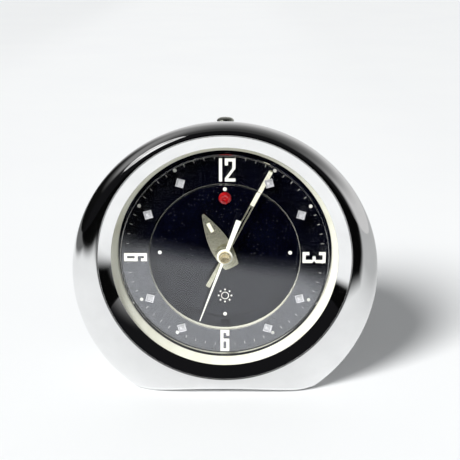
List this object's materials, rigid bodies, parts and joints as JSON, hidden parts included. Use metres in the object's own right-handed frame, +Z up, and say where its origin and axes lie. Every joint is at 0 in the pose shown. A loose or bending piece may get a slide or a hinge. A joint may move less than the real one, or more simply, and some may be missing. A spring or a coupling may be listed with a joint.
{
  "type": "wind-up alarm clock",
  "caption": "Round chromed wind-up alarm clock cut flat at the base, with a sloping bezel, clear moulded crystal carrying block numerals, a glossy dark dial and sweep seconds.",
  "frame": {"origin": "on the surface that the clock stands on, under the middle of its bounding box", "axes": "+Z up, the dial faces -Y, +X to the right of a person reading the dial"},
  "size_m": [0.1152, 0.057, 0.1041],
  "materials": {
    "chrome_case": "polished chrome plate",
    "chrome_bezel": "polished chrome plate",
    "crystal": "clear moulded plastic",
    "cream_plastic": "aged cream plastic",
    "faceted_silver": "silvered facets",
    "white_print": "white print",
    "dial_lacquer": "gloss blue-black lacquer",
    "red_jewel": "clear red plastic",
    "hand_nickel": "aged nickel plate",
    "lume": "luminous paint, cream",
    "hand_white": "white enamel",
    "hand_brass": "turned brass",
    "movement_brass": "rolled brass",
    "movement_steel": "bright steel",
    "blued_steel": "tempered spring steel",
    "cover_steel": "plated sheet steel",
    "knob_brass": "plated brass",
    "button_metal": "aged grey nickel"
  },
  "bodies": {
    "case": {"case_shell": "chrome_case", "case_posts": "movement_brass", "bezel_ring": "chrome_bezel", "crystal": "crystal", "rehaut_ring": "cream_plastic", "hour_markers": "faceted_silver", "chapter_numerals": "white_print", "dial_plate": "dial_lacquer", "dial_marks": "white_print", "dial_jewel": "red_jewel", "movement_holder": "movement_steel", "holder_screws": "movement_steel", "front_plate": "movement_brass", "rear_plate": "movement_brass", "plate_pillars": "movement_steel", "plate_spacers": "movement_brass", "plate_nuts": "movement_steel", "hairspring": "blued_steel", "time_mainspring": "blued_steel", "alarm_mainspring": "blued_steel", "alarm_bell": "movement_steel", "button_bush": "button_metal", "stop_spring": "blued_steel", "back_cover": "cover_steel", "back_cover_nuts": "knob_brass"},
    "hour_hand_group": {"hour_hand": "hand_nickel", "hour_hand_lume": "lume", "hour_wheel": "movement_brass"},
    "minute_hand_group": {"minute_hand": "hand_nickel", "minute_hand_lume": "lume", "cannon_pinion": "movement_brass"},
    "minute_wheel_group": {"minute_wheel": "movement_brass"},
    "hand_setting": {"hand_set_arbor": "movement_steel", "hand_set_knob": "knob_brass"},
    "alarm_hand_group": {"alarm_hand": "hand_nickel", "alarm_wheel": "movement_brass"},
    "alarm_setting": {"alarm_set_arbor": "movement_steel", "alarm_set_knob": "knob_brass"},
    "seconds_group": {"second_hand": "hand_white", "second_hand_cap": "hand_brass", "seconds_arbor": "movement_steel", "fourth_wheel": "movement_brass"},
    "centre_wheel_group": {"centre_wheel": "movement_brass"},
    "third_wheel_group": {"third_wheel": "movement_brass"},
    "time_great_group": {"time_great_wheel": "movement_brass", "time_click": "movement_steel"},
    "time_winding": {"time_winding_arbor": "movement_steel", "time_winding_key": "knob_brass"},
    "escape_wheel_group": {"escape_wheel": "movement_brass"},
    "pallet_group": {"pallet_lever": "movement_steel"},
    "balance_group": {"balance_wheel": "movement_brass"},
    "alarm_great_group": {"alarm_great_wheel": "movement_brass", "alarm_click": "movement_steel"},
    "alarm_winding": {"alarm_winding_arbor": "movement_steel", "alarm_winding_key": "knob_brass"},
    "alarm_escape_group": {"alarm_escape_wheel": "movement_brass"},
    "hammer_group": {"alarm_hammer": "movement_steel"},
    "button_group": {"stop_button": "button_metal", "stop_rod": "movement_steel"},
    "regulator_group": {"regulator_lever": "movement_steel"}
  },
  "joints": [
    {"name": "minute_hand_turn", "type": "hinge", "parent": "case", "child": "minute_hand_group", "pos_m": [0, -0.0161, 0.0536], "axis": [0, 1, 0], "continuous": true},
    {"name": "hour_hand_turn", "type": "hinge", "parent": "case", "child": "hour_hand_group", "pos_m": [0, -0.0161, 0.0536], "axis": [0, 1, 0], "continuous": true},
    {"name": "minute_wheel_turn", "type": "hinge", "parent": "case", "child": "minute_wheel_group", "pos_m": [0, -0.0161, 0.062], "axis": [0, 1, 0], "continuous": true},
    {"name": "hand_setting_turn", "type": "hinge", "parent": "case", "child": "hand_setting", "pos_m": [0, -0.0161, 0.0704], "axis": [0, 1, 0], "continuous": true},
    {"name": "alarm_setting_turn", "type": "hinge", "parent": "case", "child": "alarm_setting", "pos_m": [0.01576, -0.0161, 0.05638], "axis": [0, 1, 0], "continuous": true},
    {"name": "alarm_hand_turn", "type": "hinge", "parent": "case", "child": "alarm_hand_group", "pos_m": [0, -0.0161, 0.0536], "axis": [0, 1, 0], "continuous": true},
    {"name": "seconds_turn", "type": "hinge", "parent": "case", "child": "seconds_group", "pos_m": [0, -0.0161, 0.0536], "axis": [0, 1, 0], "continuous": true},
    {"name": "centre_wheel_turn", "type": "hinge", "parent": "case", "child": "centre_wheel_group", "pos_m": [0, -0.0161, 0.0536], "axis": [0, 1, 0], "continuous": true},
    {"name": "third_wheel_turn", "type": "hinge", "parent": "case", "child": "third_wheel_group", "pos_m": [-0.01247, -0.0161, 0.0608], "axis": [0, 1, 0], "continuous": true},
    {"name": "time_great_turn", "type": "hinge", "parent": "case", "child": "time_great_group", "pos_m": [-0.0129, -0.0161, 0.04457], "axis": [0, 1, 0], "continuous": true},
    {"name": "escape_wheel_turn", "type": "hinge", "parent": "case", "child": "escape_wheel_group", "pos_m": [0.0072, -0.0161, 0.06607], "axis": [0, 1, 0], "continuous": true},
    {"name": "time_winding_turn", "type": "hinge", "parent": "time_great_group", "child": "time_winding", "pos_m": [-0.0129, -0.0161, 0.04457], "axis": [0, 1, 0], "range_deg": [0, 1980]},
    {"name": "pallet_rock", "type": "hinge", "parent": "case", "child": "pallet_group", "pos_m": [0.01144, -0.0161, 0.07341], "axis": [0, 1, 0], "range_deg": [-4, 4]},
    {"name": "balance_swing", "type": "hinge", "parent": "case", "child": "balance_group", "pos_m": [0.01593, -0.0161, 0.08118], "axis": [0, 1, 0], "range_deg": [-130, 130], "stiffness_Nm_per_rad": 0.00002},
    {"name": "alarm_great_turn", "type": "hinge", "parent": "case", "child": "alarm_great_group", "pos_m": [0.0155, -0.0161, 0.0416], "axis": [0, 1, 0], "continuous": true},
    {"name": "alarm_winding_turn", "type": "hinge", "parent": "alarm_great_group", "child": "alarm_winding", "pos_m": [0.0155, -0.0161, 0.0416], "axis": [0, 1, 0], "range_deg": [0, 1980]},
    {"name": "alarm_escape_turn", "type": "hinge", "parent": "case", "child": "alarm_escape_group", "pos_m": [0.01071, -0.0161, 0.02844], "axis": [0, 1, 0], "continuous": true},
    {"name": "hammer_swing", "type": "hinge", "parent": "case", "child": "hammer_group", "pos_m": [0.0035, -0.0161, 0.0261], "axis": [0, 1, 0], "range_deg": [-5, 10]},
    {"name": "button_press", "type": "slide", "parent": "case", "child": "button_group", "axis": [0, 0, -1], "range_m": [0, 0.0015], "stiffness_N_per_m": 600, "springref_m": -0.0005, "deforming": ["stop_spring"]},
    {"name": "regulator_tilt", "type": "hinge", "parent": "case", "child": "regulator_group", "pos_m": [0.01593, -0.0161, 0.08118], "axis": [0, 1, 0], "range_deg": [-18, 18]}
  ],
  "couplings": [
    {"joint": "hour_hand_turn", "follows": "minute_hand_turn", "ratio": 0.083333},
    {"joint": "minute_wheel_turn", "follows": "minute_hand_turn", "ratio": -0.33333},
    {"joint": "hand_setting_turn", "follows": "minute_hand_turn", "ratio": 1},
    {"joint": "alarm_hand_turn", "follows": "alarm_setting_turn", "ratio": -0.33333},
    {"joint": "third_wheel_turn", "follows": "seconds_turn", "ratio": -0.13333},
    {"joint": "centre_wheel_turn", "follows": "seconds_turn", "ratio": 0.016667},
    {"joint": "time_great_turn", "follows": "seconds_turn", "ratio": -0.0027778},
    {"joint": "escape_wheel_turn", "follows": "seconds_turn", "ratio": -8},
    {"joint": "alarm_escape_turn", "follows": "alarm_great_turn", "ratio": -6}
  ]
}
